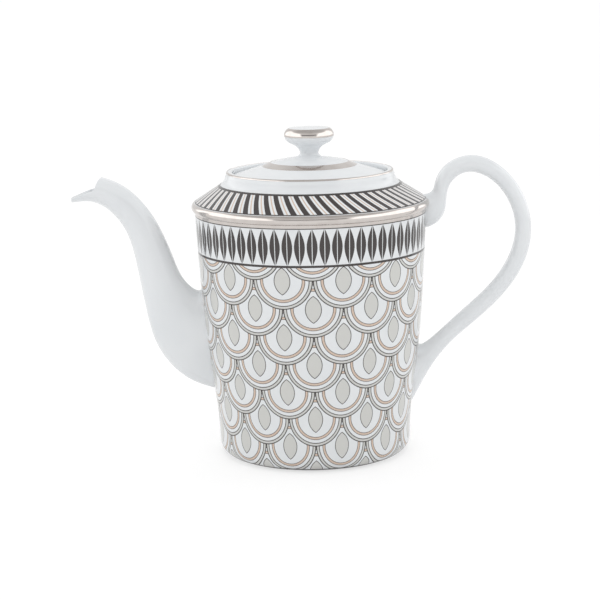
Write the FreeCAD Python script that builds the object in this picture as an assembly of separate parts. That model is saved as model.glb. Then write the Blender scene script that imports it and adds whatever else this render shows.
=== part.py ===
import FreeCAD, Part
import math
import os

# A white glazed porcelain tea pot: a hollow cast body with a luted shoulder, spout and handle, fired
# platinum lines and transfer prints on its glaze, and a loose inset lid. Millimetres, +Z up. The origin
# is on the pot's axis, on the plane it stands on. The spout points along -X and the handle along +X.

# Foot and wall
foot_radius = 43.5
foot_width = 3.0
foot_recess = 2.5
foot_draft = 1.0
base_round = 7.5
floor_thickness = 4.0
floor_round = 6.0
wall_thickness = 3.5
wall_flare = 9.8
base_tuck = 0.4
wall_swell = 1.15

# Band, shoulder and collar, each measured up from the one below
band_bottom = 129.1
band_strip = 1.4
band_height = 6.2
bead_depth = 1.8
band_step = 0.4
shoulder_rise = 8.9
shoulder_width = 13.9
collar_lean = 3.4
collar_height = 6.9
collar_hollow_out = 1.6
collar_hollow_rise = 1.9
collar_upright_out = 0.7
collar_upright_rise = 4.6
collar_wall = 3.0
rim_round = 0.7

# Lid seat inside the collar
seat_depth = 5.0
seat_width = 4.5
seat_lip = 3.8
lid_play = 0.5
seat_gap = 0.3
skirt_play = 0.8

# Lid
lid_edge = 2.7
lid_edge_round = 0.8
lid_edge_turn = 60.0
lid_rise = 4.4
lid_step_radius = 24.8
lid_step_width = 4.2
lid_step_height = 1.9
lid_crown = 2.1
crown_fullness = 0.65
lid_wall = 3.2
skirt_depth = 11.0
skirt_wall = 3.0

# Knob
knob_base_radius = 8.6
knob_neck_radius = 4.9
knob_neck_height = 3.2
knob_radius = 12.9
knob_flare_height = 8.2
knob_flare_shares = [(0.24, 0.35), (0.82, 0.67)]
knob_bevel_height = 4.2
knob_top_radius = 10.5
bevel_bulge = 0.25
knob_crown = 0.6

# Spout
spout_root_height = 61.0
spout_reach = 125.7
spout_tip_height = 137.8
spout_depth = 22.0
spout_wall = 2.6
lip_wall = 1.9
strainer_hole = 5.0
strainer_pitch = 10.0
strainer_offset = 5.4
strainer_rows = 3

# Handle
handle_root_height = 42.0
handle_reach = 55.4
handle_depth = 9.6
handle_root_depth = 13.0

# Fired films on the glaze: platinum and transfer prints
film = 0.15
print_bottom = 1.2
print_turn = -60.0
neck_height = 19.4
print_inset = 0.3

# Heights and radii that follow
base_radius = foot_radius + base_round
wall_top_radius = base_radius + wall_flare
neck_line = band_bottom - neck_height
band_top = band_bottom + band_height
shoulder_radius = wall_top_radius + band_step
shoulder_top = band_top + shoulder_rise
shoulder_top_radius = shoulder_radius - shoulder_width
rim_height = shoulder_top + collar_height
rim_radius = shoulder_top_radius - collar_lean
collar_bore = rim_radius - collar_wall
seat_height = rim_height - seat_depth
mouth_radius = collar_bore - seat_width
floor_height = foot_recess + floor_thickness
lid_radius = collar_bore - lid_play
lid_bottom = seat_height + seat_gap
lid_edge_height = lid_bottom + lid_edge
lid_step_low = lid_edge_height + lid_rise
lid_step_high = lid_step_low + lid_step_height
lid_step_inner = lid_step_radius - lid_step_width
knob_bottom = lid_step_high + lid_crown
knob_neck = knob_bottom + knob_neck_height
knob_shoulder = knob_neck + knob_flare_height
knob_edge = knob_shoulder + knob_bevel_height
knob_top = knob_edge + knob_crown
OVERRUN = 5.0
OVAL_STEPS = 8
TOUCHING = 1e-6


def point(x, z):
    return FreeCAD.Vector(x, 0, z)


class Outline:
    """A closed section in the XZ plane, drawn from point to point."""

    def __init__(self, x, z):
        self.start = self.at = (x, z)
        self.edges = []

    def line(self, x, z):
        if math.dist(self.at, (x, z)) > TOUCHING:
            self.edges.append(Part.makeLine(point(*self.at), point(x, z)))
        self.at = (x, z)
        return self

    def arc(self, middle, end):
        self.edges.append(Part.Arc(point(*self.at), point(*middle), point(*end)).toShape())
        self.at = end
        return self

    def corner(self, centre, radius, first, last):
        """An arc about a centre, from one angle in degrees to another."""
        turn = [math.radians(a) for a in (first, (first + last) / 2, last)]
        spots = [(centre[0] + radius * math.cos(a), centre[1] + radius * math.sin(a)) for a in turn]
        self.line(*spots[0])
        return self.arc(spots[1], spots[2])

    def dome(self, top):
        """A spherical cap from the present point up to the axis."""
        radius, low = self.at
        rise = top - low
        ball = (radius * radius + rise * rise) / (2 * rise)
        half = top - ball + math.sqrt(ball * ball - radius * radius / 4)
        return self.arc((radius / 2, half), (0, top))

    def spline(self, *through):
        curve = Part.BSplineCurve()
        curve.interpolate([point(*self.at)] + [point(*spot) for spot in through])
        self.edges.append(curve.toShape())
        self.at = through[-1]
        return self

    def face(self):
        self.line(*self.start)
        return Part.Face(Part.Wire(self.edges))

    def turned(self):
        """The solid that the section makes when it is turned about the pot's axis."""
        solid = self.face().revolve(FreeCAD.Vector(), FreeCAD.Vector(0, 0, 1), 360)
        return solid if solid.Volume > 0 else solid.reversed()

    def pushed(self, half_depth):
        """The solid that the section makes when it is drawn out to both sides of the XZ plane."""
        face = self.face()
        face.translate(FreeCAD.Vector(0, -half_depth, 0))
        return face.extrude(FreeCAD.Vector(0, 2 * half_depth, 0))


def wall_points(offset):
    """The outer wall from the base corner up: a straight flare, tucked in low down and swelling above."""
    swells = [(0.0, 0.0), (0.14, -base_tuck), (0.40, wall_swell), (0.70, wall_swell), (1.0, 0.0)]
    rise = band_bottom - base_round
    return [
        (base_radius + wall_flare * share + swell + offset, base_round + rise * share)
        for share, swell in swells
    ]


def wall_radius(height):
    share = (height - base_round) / (band_bottom - base_round)
    return base_radius + wall_flare * share + wall_swell


def bead(offset):
    """The bead above the platinum strip: its lower edge, its widest point and the shoulder's edge."""
    low = band_bottom + band_strip
    return [
        (wall_top_radius + offset, low),
        (wall_top_radius + bead_depth + offset, (low + band_top) / 2),
        (shoulder_radius + offset, band_top),
    ]


def pot_core():
    """The pot's outside as one filled solid."""
    low, middle, high = bead(0)
    outline = Outline(0, foot_recess)
    outline.line(foot_radius - foot_width - foot_draft, foot_recess)
    outline.line(foot_radius - foot_width, 0)
    outline.line(foot_radius, 0)
    outline.corner((foot_radius, base_round), base_round, -90, 0)
    outline.spline(*wall_points(0)[1:])
    outline.line(*low)
    outline.arc(middle, high)
    outline.line(shoulder_top_radius, shoulder_top)
    outline.arc(
        (rim_radius + collar_hollow_out, shoulder_top + collar_hollow_rise),
        (rim_radius + collar_upright_out, shoulder_top + collar_upright_rise),
    )
    outline.line(rim_radius, rim_height - rim_round)
    outline.corner((rim_radius - rim_round, rim_height - rim_round), rim_round, 0, 90)
    outline.line(0, rim_height)
    return outline.turned()


def pot_cavity():
    """The pot's inside, up through the mouth, the lid's seat and the collar."""
    inner_base = base_radius - wall_thickness
    outline = Outline(0, floor_height)
    outline.corner((inner_base - floor_round, floor_height + floor_round), floor_round, -90, 0)
    outline.spline(*wall_points(-wall_thickness)[1:])
    outline.line(wall_top_radius - wall_thickness, band_top - wall_thickness)
    outline.line(shoulder_top_radius - wall_thickness, shoulder_top - wall_thickness)
    outline.line(mouth_radius, seat_height - seat_lip)
    outline.line(mouth_radius, seat_height)
    outline.line(collar_bore, seat_height)
    outline.corner((collar_bore + rim_round, rim_height - rim_round), rim_round, 180, 90)
    outline.line(collar_bore + rim_round, rim_height + OVERRUN)
    outline.line(0, rim_height + OVERRUN)
    return outline.turned()


def strainer():
    """The pierced holes that lead from the pot into the spout, in staggered rows."""
    outside = wall_radius(spout_root_height) + wall_flare
    holes = []
    for column in (-1, 0, 1):
        count = strainer_rows - abs(column)
        for row in range(count):
            height = spout_root_height + (row - (count - 1) / 2) * strainer_pitch
            start = FreeCAD.Vector(-outside, column * strainer_offset, height)
            holes.append(Part.makeCylinder(strainer_hole / 2, outside, start, FreeCAD.Vector(1, 0, 0)))
    return Part.makeCompound(holes)


def half_oval(station, inset, side):
    """Points of one half of a section, between its two edge points of the XZ plane."""
    low, high, depth = station
    middle = (point(*low) + point(*high)) / 2
    along = (point(*high) - point(*low)).normalize() * (math.dist(low, high) / 2 - inset)
    across = FreeCAD.Vector(0, side * (depth / 2 - inset), 0)
    turns = [math.pi * step / OVAL_STEPS for step in range(OVAL_STEPS + 1)]
    return [middle + along * math.cos(turn) + across * math.sin(turn) for turn in turns]


def lofted(stations, first_inset, last_inset):
    """A closed tube through oval sections, smooth from one to the next and set in from them."""
    last = len(stations) - 1
    insets = [first_inset + (last_inset - first_inset) * i / last for i in range(last + 1)]
    surfaces = []
    for side in (-1, 1):
        surface = Part.BSplineSurface()
        surface.interpolate([half_oval(*section, side) for section in zip(stations, insets)])
        surfaces.append(surface)
    faces = [surface.toShape() for surface in surfaces]
    for end in surfaces[0].bounds()[:2]:
        faces.append(Part.Face(Part.Wire([surface.uIso(end).toShape() for surface in surfaces])))
    shell = Part.makeShell(faces)
    shell.sewShape()
    solid = Part.makeSolid(shell)
    return solid if solid.Volume > 0 else solid.reversed()


def on_spout(along, up):
    """A point of the spout's side view: (0, 0) is its middle on the wall and (1, 1) is its tip."""
    root = wall_radius(spout_root_height)
    rise = spout_tip_height - spout_root_height
    return (-root - (spout_reach - root) * along, spout_root_height + rise * up)


def spout_stations():
    """Under edge, upper edge and depth at each section, from inside the wall to the tip."""
    shares = [
        ((-0.173, -0.319), (-0.173, 0.332), 0.955),
        ((-0.029, -0.341), (0.038, 0.354), 1.045),
        ((0.122, -0.289), (0.110, 0.372), 1.000),
        ((0.254, -0.199), (0.164, 0.424), 0.982),
        ((0.354, -0.083), (0.201, 0.482), 0.955),
        ((0.420, 0.052), (0.237, 0.565), 0.918),
        ((0.465, 0.234), (0.277, 0.664), 0.864),
        ((0.502, 0.430), (0.329, 0.775), 0.791),
        ((0.541, 0.624), (0.389, 0.878), 0.727),
        ((0.607, 0.798), (0.482, 0.990), 0.682),
        ((0.728, 0.932), (0.607, 1.089), 0.655),
        ((0.847, 0.986), (0.779, 1.154), 0.618),
        ((0.930, 0.989), (0.925, 1.158), 0.523),
        ((1.000, 0.984), (1.004, 1.126), 0.341),
    ]
    return [(on_spout(*low), on_spout(*high), spout_depth * share) for low, high, share in shares]


def mouth_cutter():
    """What is cut from the spout's end: a steep upper rim and a long open lower lip."""
    upper_rim = [(0.802, 1.113), (0.816, 1.085), (0.861, 1.061)]
    lower_lip = [(0.930, 1.038), (0.985, 1.020), (1.030, 1.006)]
    outline = Outline(*on_spout(0.750, 1.208))
    outline.line(*on_spout(0.772, 1.150))
    outline.spline(*[on_spout(*spot) for spot in upper_rim])
    outline.spline(*[on_spout(*spot) for spot in lower_lip])
    outline.line(*on_spout(1.071, 1.000))
    outline.line(*on_spout(1.071, 1.208))
    return outline.pushed(spout_depth)


def on_handle(out, up):
    """A point of the handle's side view, out from the line between its roots and up from the lower."""
    root = wall_radius(handle_root_height)
    line = root + (shoulder_radius - root) * up
    return (line + handle_reach * out, handle_root_height + (band_top - handle_root_height) * up)


def handle_stations():
    """Outer edge, inner edge and depth at each section, from the upper root round to the lower."""
    shares = [
        ((-0.085, 1.014), (-0.084, 0.825), 1.00),
        ((0.009, 1.018), (0.021, 0.827), 1.00),
        ((0.041, 1.027), (0.136, 0.866), 0.55),
        ((0.061, 1.041), (0.183, 0.922), 0.20),
        ((0.072, 1.067), (0.193, 0.992), 0.05),
        ((0.086, 1.104), (0.206, 1.050), 0.00),
        ((0.148, 1.168), (0.261, 1.103), 0.00),
        ((0.394, 1.231), (0.403, 1.137), 0.00),
        ((0.727, 1.147), (0.626, 1.083), 0.00),
        ((0.948, 0.973), (0.812, 0.941), 0.00),
        ((1.022, 0.808), (0.870, 0.808), 0.00),
        ((0.950, 0.579), (0.803, 0.621), 0.00),
        ((0.765, 0.412), (0.642, 0.478), 0.00),
        ((0.456, 0.237), (0.343, 0.305), 0.00),
        ((0.248, 0.111), (0.128, 0.184), 0.00),
        ((0.129, 0.005), (0.055, 0.153), 0.29),
        ((0.002, -0.148), (0.005, 0.152), 1.00),
        ((-0.200, -0.148), (-0.231, 0.131), 1.00),
    ]
    swell = handle_root_depth - handle_depth
    return [(on_handle(*low), on_handle(*high), handle_depth + swell * share) for low, high, share in shares]


def slab(low, high):
    """A disc wider than the pot, between two heights."""
    return Part.makeCylinder(2 * wall_top_radius, high - low, FreeCAD.Vector(0, 0, low))


def wall_film():
    """A film all round the wall, from the base corner up to the band."""
    centre = (foot_radius, base_round)
    outline = Outline(wall_top_radius, band_bottom)
    outline.line(wall_top_radius + film, band_bottom)
    outline.spline(*wall_points(film)[-2::-1])
    outline.corner(centre, base_round + film, 0, print_turn)
    outline.corner(centre, base_round, print_turn, 0)
    outline.spline(*wall_points(0)[1:])
    return outline.turned()


def shoulder_band():
    """The platinum round the strip and the bead."""
    low, middle, high = bead(0)
    outer_low, outer_middle, outer_high = bead(film)
    outline = Outline(wall_top_radius, band_bottom)
    outline.line(wall_top_radius + film, band_bottom)
    outline.line(*outer_low)
    outline.arc(outer_middle, outer_high)
    outline.line(*high)
    outline.arc(middle, low)
    return outline.turned()


def shoulder_print():
    slope = math.atan2(shoulder_rise, shoulder_width)
    lift = film / math.cos(slope)
    edge = shoulder_radius - print_inset
    edge_height = band_top + print_inset * math.tan(slope)
    outline = Outline(edge, edge_height)
    outline.line(edge, edge_height + lift)
    outline.line(shoulder_top_radius, shoulder_top + lift)
    outline.line(shoulder_top_radius, shoulder_top)
    return outline.turned()


def collar_line():
    """The platinum hairline over the collar's rim."""
    centre = (rim_radius - rim_round, rim_height - rim_round)
    outline = Outline(rim_radius - rim_round, rim_height)
    outline.line(rim_radius - rim_round, rim_height + film)
    outline.corner(centre, rim_round + film, 90, 0)
    outline.corner(centre, rim_round, 0, 90)
    return outline.turned()


def lid_cover():
    """The inset lid: a flange on the seat, a skirt down into the mouth and a stepped crown."""
    skirt_radius = mouth_radius - skirt_play
    skirt_bottom = lid_bottom - skirt_depth
    edge_centre = (lid_radius - lid_edge_round, lid_edge_height - lid_edge_round)
    crown = ((lid_step_inner + knob_base_radius) / 2, lid_step_high + lid_crown * crown_fullness)
    outline = Outline(0, knob_bottom)
    outline.line(0, knob_bottom - lid_wall)
    outline.line(lid_step_inner, lid_step_high - lid_wall)
    outline.line(skirt_radius - skirt_wall, lid_edge_height - lid_wall)
    outline.line(skirt_radius - skirt_wall, skirt_bottom)
    outline.line(skirt_radius, skirt_bottom)
    outline.line(skirt_radius, lid_bottom)
    outline.line(lid_radius, lid_bottom)
    outline.corner(edge_centre, lid_edge_round, 0, lid_edge_turn)
    outline.line(lid_step_radius, lid_step_low)
    outline.line(lid_step_inner, lid_step_high)
    outline.arc(crown, (knob_base_radius, knob_bottom))
    return outline.turned()


def lid_ring():
    """The platinum on the step round the lid's crown."""
    outline = Outline(lid_step_radius, lid_step_low)
    outline.line(lid_step_radius, lid_step_low + film)
    outline.line(lid_step_inner, lid_step_high + film)
    outline.line(lid_step_inner, lid_step_high)
    return outline.turned()


def knob_bevel(offset):
    """The bevel's arc: its lower edge, a point half way and its upper edge."""
    bulge = (knob_radius - knob_top_radius) * bevel_bulge
    middle = (knob_radius + knob_top_radius) / 2 + bulge
    return [
        (knob_radius + offset, knob_shoulder),
        (middle + offset, (knob_shoulder + knob_edge) / 2 + bulge),
        (knob_top_radius + offset, knob_edge),
    ]


def lid_knob():
    low, middle, high = knob_bevel(0)
    flare = knob_radius - knob_neck_radius
    waist = [
        (knob_neck_radius + flare * out, knob_neck + knob_flare_height * up)
        for out, up in knob_flare_shares
    ]
    outline = Outline(0, knob_bottom)
    outline.line(knob_base_radius, knob_bottom)
    outline.spline((knob_neck_radius, knob_neck), *waist, low)
    outline.arc(middle, high)
    outline.dome(knob_top)
    return outline.turned()


def knob_band():
    """The platinum on the knob's bevel."""
    low, middle, high = knob_bevel(0)
    outer_low, outer_middle, outer_high = knob_bevel(film)
    outline = Outline(*low)
    outline.line(*outer_low)
    outline.arc(outer_middle, outer_high)
    outline.line(*high)
    outline.arc(middle, low)
    return outline.turned()


def build():
    core = pot_core()
    hollow = core.cut(pot_cavity())
    spout_outside = lofted(spout_stations(), 0, 0)
    spout_bore = lofted(spout_stations(), spout_wall, lip_wall)
    handle = lofted(handle_stations(), 0, 0)
    jacket = wall_film()
    return {
        "pot_body": hollow.common(slab(-OVERRUN, band_bottom)).cut(strainer()),
        "pot_shoulder": hollow.common(slab(band_bottom, rim_height + OVERRUN)),
        "spout": spout_outside.cut(core).cut(mouth_cutter()).cut(spout_bore),
        "handle": handle.cut(core),
        "wall_print": jacket.common(slab(print_bottom, neck_line)).cut(spout_outside).cut(handle),
        "neck_print": jacket.common(slab(neck_line, rim_height)).cut(handle),
        "shoulder_band": shoulder_band().cut(handle),
        "shoulder_print": shoulder_print().cut(handle),
        "collar_line": collar_line(),
        "lid_cover": lid_cover(),
        "lid_ring": lid_ring(),
        "lid_knob": lid_knob(),
        "knob_band": knob_band(),
    }


os.makedirs("parts", exist_ok=True)
for name, shape in build().items():
    shape.exportStep("parts/" + name + ".step")
    print(name, "solids", len(shape.Solids), "valid", shape.isValid(), "volume", round(shape.Volume, 1))
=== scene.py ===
import math

import bpy
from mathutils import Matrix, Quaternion, Vector


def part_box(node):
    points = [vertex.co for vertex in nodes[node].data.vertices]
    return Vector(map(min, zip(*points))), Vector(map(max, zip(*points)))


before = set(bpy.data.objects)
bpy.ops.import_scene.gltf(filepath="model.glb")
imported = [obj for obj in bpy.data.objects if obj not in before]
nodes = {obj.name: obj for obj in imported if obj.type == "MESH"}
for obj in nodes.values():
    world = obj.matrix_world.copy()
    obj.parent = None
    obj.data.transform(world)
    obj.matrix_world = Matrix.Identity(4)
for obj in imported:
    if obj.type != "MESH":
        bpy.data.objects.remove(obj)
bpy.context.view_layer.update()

# A white porcelain teapot with platinum bands and a printed wall. Sizes are in millimetres, in the
# frame of the solids, and MM turns them into Blender's metres.
MM = 0.001

# Camera, at the photograph's viewing angle
CAMERA_PLACE = (-6.6, -950.0, 267.1)
CAMERA_TILT = 11.065
CAMERA_ROLL = -1.287
CAMERA_LENS = 108.9
SENSOR = 36.0

# Colours, as linear values
GLAZE_WHITE = (0.840, 0.860, 0.876, 1)
GLAZE_SHADE = (0.810, 0.833, 0.852, 1)
BISQUE = (0.68, 0.64, 0.58, 1)
PRINT_DARK = (0.050, 0.042, 0.041, 1)
PRINT_TAN = (0.690, 0.545, 0.445, 1)
PRINT_GREY = (0.660, 0.660, 0.635, 1)
PLATINUM = (0.655, 0.612, 0.583, 1)
PLATINUM_SHADE = (0.585, 0.535, 0.505, 1)
FLOOR_WHITE = (0.93, 0.93, 0.93, 1)

# Glaze: sizes of its blotches, limits of its roughness, and the spacing and height of its ripple
NOISE_SPAN = (0.25, 0.75)
TINT_BLOTCH = 18.0
GLOSS_BLOTCH = 7.0
GLAZE_ROUGHNESS = (0.07, 0.12)
GLAZE_RIPPLE = (16.0, 0.04)
GLAZE_IOR = 1.52
BISQUE_ROUGHNESS = 0.7
FOOT_CONTACT = 0.25

# Platinum film: sizes of its worn and dull spots, limits of its roughness, and its ripple
WORN_SPOT = 5.0
WORN_SPAN = (0.35, 0.75)
WORN_MOST = 0.7
DULL_SPOT = 3.0
SPOT_DETAIL = 4.0
FILM_ROUGHNESS = (0.05, 0.12)
FILM_RIPPLE = (14.0, 0.018)

# Wall print: rows of hanging scales, with rings given as shares of a scale's radius
SCALE_COLUMNS = 12
SCALE_RADIUS = 14.6
SCALE_EDGE = (0.965, 1.01)
SCALE_STRIP = (0.895, 0.965)
SCALE_INNER_EDGE = (0.865, 0.895)
TAN_RING = (0.665, 0.735)
TAN_EDGES = ((0.645, 0.665), (0.735, 0.755))
LEAF_SHIFT = 0.30
LEAF_RADIUS = 0.575
LEAF_EDGE = 0.025
FOOT_LINE = 0.7
WALL_LINE = 0.6

# Neck print: a row of leaves. Shoulder print: a rope twist. Lines are shares of a border's height.
LEAF_COUNT = 60
LEAF_WIDTH = 0.43
LEAF_RIB = 0.03
NECK_LINES = ((-0.1, 0.03), (0.975, 1.1))
TWIST_COUNT = 58
TWIST_LEAN = 1.3
TWIST_DARK = (0.0, 0.48)
TWIST_TAN = (0.68, 0.80)
SHOULDER_LINES = ((-0.1, 0.05), (0.91, 1.2))

# Floor: width in metres, drop below the foot, and the share of white glow in what is seen of it
FLOOR_WIDTH = 40.0
FLOOR_DROP = 0.2
FLOOR_ROUGHNESS = 0.9
FLOOR_GLOW = 1.15
GLOW_SEEN = 0.55
GLOW_MIRRORED = 0.25

# Soft light of the surround: strengths, and spans along one part of a unit direction
SOFT_FRONT = 0.75
SOFT_BACK = 1.38
SOFT_SPAN = (-0.6, 0.3)
SOFT_CEILING = 0.66
SOFT_CEILING_SPAN = (0.35, 0.9)

# The surround in gloss: a bright box at each side, a dark gap in front and a grey ceiling
GLOSS_LEVEL = 0.85
GLOSS_BOX = 0.85
GLOSS_GAP = -0.72
GLOSS_CEILING = 0.7
GLOSS_CEILING_SPAN = (0.6, 0.95)
BOX_SIDE = (0.50, 0.68)
BOX_TOP = (0.62, 0.74)
GAP_FRONT = (-0.75, -0.35)
GAP_BOTTOM = (0.24, 0.34)
GAP_TOP = (0.42, 0.52)

# Key lamp, in metres and watts
KEY_PLACE = (0.0, -0.75, 1.15)
KEY_TARGET = (0.0, 0.0, 0.1)
KEY_SIZE = (1.2, 0.45)
KEY_POWER = 2.9


class Graph:
    """Shader nodes of one material or world, wired by function calls."""

    def __init__(self, owner):
        self.owner = owner
        owner.use_nodes = True
        self.tree = owner.node_tree
        self.shader = self.tree.nodes.get("Principled BSDF")

    def add(self, kind, **settings):
        node = self.tree.nodes.new(kind)
        for key, value in settings.items():
            setattr(node, key, value)
        return node

    def plug(self, socket, value):
        if isinstance(value, bpy.types.NodeSocket):
            self.tree.links.new(value, socket)
        else:
            socket.default_value = value

    def math(self, operation, *values):
        node = self.add("ShaderNodeMath", operation=operation)
        for socket, value in zip(node.inputs, values):
            self.plug(socket, value)
        return node.outputs[0]

    def between(self, value, limits):
        """1 where value lies between the two limits, else 0."""
        above = self.math("GREATER_THAN", value, limits[0])
        return self.math("MULTIPLY", above, self.math("LESS_THAN", value, limits[1]))

    def length(self, across, up):
        squares = [self.math("MULTIPLY", side, side) for side in (across, up)]
        return self.math("SQRT", self.math("ADD", *squares))

    def mix(self, share, first, second):
        """The colour first where share is 0, and second where it is 1."""
        node = self.add("ShaderNodeMix", data_type="RGBA")
        factor, colour_a, colour_b = node.inputs[0], node.inputs[6], node.inputs[7]
        for socket, value in ((factor, share), (colour_a, first), (colour_b, second)):
            self.plug(socket, value)
        return node.outputs[2]

    def choose(self, share, first, second):
        """The number first where share is 0, and second where it is 1."""
        return self.math("MULTIPLY_ADD", self.math("SUBTRACT", second, first), share, first)

    def spread(self, value, span, low, high):
        """low where value is at the span's start or before, high at its end or after, smooth between."""
        node = self.add("ShaderNodeMapRange", interpolation_type="SMOOTHSTEP")
        self.plug(node.inputs["Value"], value)
        limits = {"From Min": span[0], "From Max": span[1], "To Min": low, "To Max": high}
        for name, number in limits.items():
            node.inputs[name].default_value = number
        return node.outputs["Result"]

    def place(self):
        """x, y and z of the point in the object's own frame, in metres."""
        split = self.add("ShaderNodeSeparateXYZ")
        self.plug(split.inputs[0], self.add("ShaderNodeTexCoord").outputs["Object"])
        return split.outputs

    def noise(self, size, detail=2.0):
        """Soft noise with blotches of about the stated size in millimetres."""
        node = self.add("ShaderNodeTexNoise")
        self.plug(node.inputs["Vector"], self.add("ShaderNodeTexCoord").outputs["Object"])
        node.inputs["Scale"].default_value = 1 / (size * MM)
        node.inputs["Detail"].default_value = detail
        return node.outputs["Fac"]

    def ripple(self, size, height):
        """A faint unevenness of the surface, in millimetres."""
        bump = self.add("ShaderNodeBump")
        bump.inputs["Distance"].default_value = height * MM
        self.plug(bump.inputs["Height"], self.noise(size))
        self.plug(self.shader.inputs["Normal"], bump.outputs["Normal"])


def material(name):
    return Graph(bpy.data.materials.new(name))


def mottled_white(graph):
    share = graph.spread(graph.noise(TINT_BLOTCH), NOISE_SPAN, 0.0, 1.0)
    return graph.mix(share, GLAZE_WHITE, GLAZE_SHADE)


def glaze_finish(graph, colour, bare=None):
    """Fired glaze over a colour: glossy and a little uneven, and matt where bare is 1."""
    graph.plug(graph.shader.inputs["Base Color"], colour)
    rough = graph.spread(graph.noise(GLOSS_BLOTCH), NOISE_SPAN, *GLAZE_ROUGHNESS)
    if bare is not None:
        rough = graph.choose(bare, rough, BISQUE_ROUGHNESS)
    graph.plug(graph.shader.inputs["Roughness"], rough)
    graph.shader.inputs["IOR"].default_value = GLAZE_IOR
    graph.ripple(*GLAZE_RIPPLE)
    return graph.owner


def white_glaze():
    graph = material("white_glaze")
    return glaze_finish(graph, mottled_white(graph))


def body_glaze():
    """White glaze, wiped off where the foot ring stands."""
    graph = material("body_glaze")
    bare = graph.math("LESS_THAN", graph.place()[2], FOOT_CONTACT * MM)
    return glaze_finish(graph, graph.mix(bare, mottled_white(graph), BISQUE), bare)


def platinum():
    """A polished metal film, slightly worn."""
    graph = material("platinum_film")
    worn = graph.spread(graph.noise(WORN_SPOT, SPOT_DETAIL), WORN_SPAN, 0.0, WORN_MOST)
    graph.plug(graph.shader.inputs["Base Color"], graph.mix(worn, PLATINUM, PLATINUM_SHADE))
    graph.shader.inputs["Metallic"].default_value = 1.0
    rough = graph.spread(graph.noise(DULL_SPOT, SPOT_DETAIL), NOISE_SPAN, *FILM_ROUGHNESS)
    graph.plug(graph.shader.inputs["Roughness"], rough)
    graph.ripple(*FILM_RIPPLE)
    return graph.owner


def heights(name):
    """The lowest and highest level of a CAD node, in metres."""
    low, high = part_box(name)
    return low[2], high[2]


def share_up(graph, place, name):
    """How far up a CAD node the point lies: 0 at its lowest level and 1 at its highest."""
    low, high = heights(name)
    return graph.math("DIVIDE", graph.math("SUBTRACT", place[2], low), high - low)


def around(graph, place, count):
    """How many repeats of a ring of count motifs lie before this point's angle."""
    return graph.math("MULTIPLY", graph.math("ARCTAN2", place[1], place[0]), count / (2 * math.pi))


def off_centre(graph, turns):
    """Distance from the nearest whole number, from -0.5 to 0.5."""
    return graph.math("SUBTRACT", turns, graph.math("ROUND", turns))


def scale_offset(graph, turns, rows, row):
    """Offsets across and up, and the distance, from the nearest scale of a row, in scale radii.

    A column is two radii wide, and every other row is shifted by half a column.
    """
    shift = graph.math("MULTIPLY", graph.math("MODULO", row, 2.0), 0.5)
    across = graph.math("MULTIPLY", off_centre(graph, graph.math("SUBTRACT", turns, shift)), 2.0)
    up = graph.math("SUBTRACT", rows, row)
    return across, up, graph.length(across, up)


def wall_print():
    """Hanging scales: a grey strip between dark edges, a fine tan ring and a grey leaf."""
    graph = material("wall_print")
    place = graph.place()
    turns = around(graph, place, SCALE_COLUMNS)
    rows = graph.math("DIVIDE", place[2], SCALE_RADIUS * MM)
    below = graph.math("FLOOR", rows)
    far = scale_offset(graph, turns, rows, below)
    near = scale_offset(graph, turns, rows, graph.math("ADD", below, 1.0))
    covered = graph.math("LESS_THAN", near[2], 1.0)
    across, up, distance = (graph.choose(covered, *pair) for pair in zip(far, near))
    leaf = graph.length(graph.math("ADD", graph.math("ABSOLUTE", across), LEAF_SHIFT), up)
    low, high = heights("wall_print")
    layers = [
        (distance, SCALE_STRIP, PRINT_GREY),
        (distance, SCALE_EDGE, PRINT_DARK),
        (distance, SCALE_INNER_EDGE, PRINT_DARK),
        (distance, TAN_RING, PRINT_TAN),
        (distance, TAN_EDGES[0], PRINT_DARK),
        (distance, TAN_EDGES[1], PRINT_DARK),
        (leaf, (0.0, LEAF_RADIUS), PRINT_DARK),
        (leaf, (0.0, LEAF_RADIUS - LEAF_EDGE), PRINT_GREY),
        (place[2], (0.0, low + FOOT_LINE * MM), PRINT_DARK),
        (place[2], (high - WALL_LINE * MM, high + MM), PRINT_DARK),
    ]
    colour = mottled_white(graph)
    for value, limits, paint in layers:
        colour = graph.mix(graph.between(value, limits), colour, paint)
    return glaze_finish(graph, colour)


def neck_print():
    """A row of upright dark leaves with pale ribs, between lines."""
    graph = material("neck_print")
    place = graph.place()
    up = share_up(graph, place, "neck_print")
    across = graph.math("ABSOLUTE", off_centre(graph, around(graph, place, LEAF_COUNT)))
    bow = graph.math("SINE", graph.math("MULTIPLY", up, math.pi))
    dark = graph.math("LESS_THAN", across, graph.math("MULTIPLY", bow, LEAF_WIDTH))
    dark = graph.math("MULTIPLY", dark, graph.math("GREATER_THAN", across, LEAF_RIB))
    colour = graph.mix(dark, mottled_white(graph), PRINT_DARK)
    for limits in NECK_LINES:
        colour = graph.mix(graph.between(up, limits), colour, PRINT_DARK)
    return glaze_finish(graph, colour)


def shoulder_print():
    """A rope twist round the sloping shoulder, between dark lines."""
    graph = material("shoulder_print")
    place = graph.place()
    up = share_up(graph, place, "shoulder_print")
    turns = graph.math("MULTIPLY_ADD", up, TWIST_LEAN, around(graph, place, TWIST_COUNT))
    twist = graph.math("FRACT", turns)
    colour = mottled_white(graph)
    for limits, paint in ((TWIST_DARK, PRINT_DARK), (TWIST_TAN, PRINT_TAN)):
        colour = graph.mix(graph.between(twist, limits), colour, paint)
    for limits in SHOULDER_LINES:
        colour = graph.mix(graph.between(up, limits), colour, PRINT_DARK)
    return glaze_finish(graph, colour)


def dress(finish, *names):
    """Gives CAD nodes a material."""
    for name in names:
        mesh = nodes[name].data
        mesh.materials.clear()
        mesh.materials.append(finish)


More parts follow.
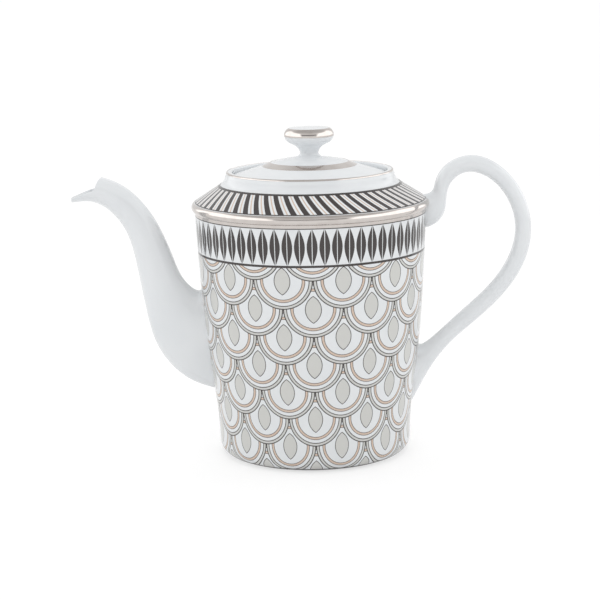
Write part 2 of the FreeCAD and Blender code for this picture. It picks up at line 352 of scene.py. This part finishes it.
def white_share(graph):
    """How much of the floor is white glow: about half for the camera, less in mirrors and glass."""
    path = graph.add("ShaderNodeLightPath").outputs
    mirrored = graph.math("MAXIMUM", path["Is Glossy Ray"], path["Is Transmission Ray"])
    direct = graph.math("MULTIPLY", path["Is Camera Ray"], GLOW_SEEN)
    return graph.math("MULTIPLY_ADD", mirrored, GLOW_MIRRORED, direct)


def floor():
    """A plain floor that shows white, with the pot's faint shadow."""
    bpy.ops.mesh.primitive_plane_add(size=FLOOR_WIDTH, location=(0, 0, -FLOOR_DROP * MM))
    plane = bpy.context.object
    plane.name = "floor"
    graph = material("floor_white")
    graph.shader.inputs["Base Color"].default_value = FLOOR_WHITE
    graph.shader.inputs["Roughness"].default_value = FLOOR_ROUGHNESS
    glow = graph.add("ShaderNodeEmission")
    glow.inputs["Strength"].default_value = FLOOR_GLOW
    blend = graph.add("ShaderNodeMixShader")
    graph.plug(blend.inputs[0], white_share(graph))
    graph.plug(blend.inputs[1], graph.shader.outputs[0])
    graph.plug(blend.inputs[2], glow.outputs[0])
    graph.plug(graph.tree.nodes["Material Output"].inputs["Surface"], blend.outputs[0])
    graph.owner.cycles.emission_sampling = "NONE"
    plane.data.materials.append(graph.owner)


def soft_light(graph, way):
    """Strength of the surround's light on the pot: stronger from behind, weaker from overhead."""
    soft = graph.spread(way["Y"], SOFT_SPAN, SOFT_FRONT, SOFT_BACK)
    return graph.math("MULTIPLY", soft, graph.spread(way["Z"], SOFT_CEILING_SPAN, 1.0, SOFT_CEILING))


def gloss_light(graph, way):
    """Strength of the surround where gloss shows it: bright boxes, a dark gap and a grey ceiling."""
    side = graph.spread(graph.math("ABSOLUTE", way["X"]), BOX_SIDE, 0.0, 1.0)
    box = graph.math("MULTIPLY", side, graph.spread(way["Z"], BOX_TOP, 1.0, 0.0))
    gap = graph.math("SUBTRACT", 1.0, side)
    gap = graph.math("MULTIPLY", gap, graph.spread(way["Y"], GAP_FRONT, 1.0, 0.0))
    gap = graph.math("MULTIPLY", gap, graph.spread(way["Z"], GAP_BOTTOM, 0.0, 1.0))
    gap = graph.math("MULTIPLY", gap, graph.spread(way["Z"], GAP_TOP, 1.0, 0.0))
    level = graph.math("MULTIPLY_ADD", gap, GLOSS_GAP, GLOSS_LEVEL)
    level = graph.math("MULTIPLY_ADD", box, GLOSS_BOX, level)
    ceiling = graph.spread(way["Z"], GLOSS_CEILING_SPAN, 1.0, GLOSS_CEILING)
    return graph.math("MULTIPLY", level, ceiling)


def studio():
    """A white surround that the camera sees plain white."""
    world = bpy.data.worlds.new("studio")
    bpy.context.scene.world = world
    graph = Graph(world)
    split = graph.add("ShaderNodeSeparateXYZ")
    graph.plug(split.inputs[0], graph.add("ShaderNodeTexCoord").outputs["Generated"])
    way = split.outputs
    path = graph.add("ShaderNodeLightPath").outputs
    strength = graph.choose(path["Is Glossy Ray"], soft_light(graph, way), gloss_light(graph, way))
    clear = graph.math("MAXIMUM", path["Is Camera Ray"], path["Is Transmission Ray"])
    strength = graph.choose(clear, strength, 1.0)
    background = graph.tree.nodes["Background"]
    background.inputs["Color"].default_value = (1, 1, 1, 1)
    graph.plug(background.inputs["Strength"], strength)


def key_lamp():
    """A soft lamp over the camera, without a glint of its own."""
    data = bpy.data.lights.new("key", "AREA")
    data.shape = "RECTANGLE"
    data.size, data.size_y = KEY_SIZE
    data.energy = KEY_POWER
    lamp = bpy.data.objects.new("key", data)
    bpy.context.scene.collection.objects.link(lamp)
    lamp.location = KEY_PLACE
    lamp.visible_glossy = False
    aim = Vector(KEY_TARGET) - Vector(KEY_PLACE)
    lamp.rotation_euler = aim.to_track_quat("-Z", "Y").to_euler()


def camera():
    data = bpy.data.cameras.new("camera")
    data.lens = CAMERA_LENS
    data.sensor_width = SENSOR
    eye = bpy.data.objects.new("camera", data)
    bpy.context.scene.collection.objects.link(eye)
    eye.location = [side * MM for side in CAMERA_PLACE]
    tilt = Quaternion((1, 0, 0), math.radians(90 - CAMERA_TILT))
    roll = Quaternion((0, 0, 1), math.radians(CAMERA_ROLL))
    eye.rotation_mode = "QUATERNION"
    eye.rotation_quaternion = tilt @ roll
    bpy.context.scene.camera = eye


dress(body_glaze(), "pot_body")
dress(white_glaze(), "pot_shoulder", "spout", "handle", "lid_cover", "lid_knob")
dress(platinum(), "shoulder_band", "collar_line", "lid_ring", "knob_band")
dress(wall_print(), "wall_print")
dress(neck_print(), "neck_print")
dress(shoulder_print(), "shoulder_print")
floor()
studio()
key_lamp()
camera()
bpy.context.scene.view_settings.view_transform = "Standard"
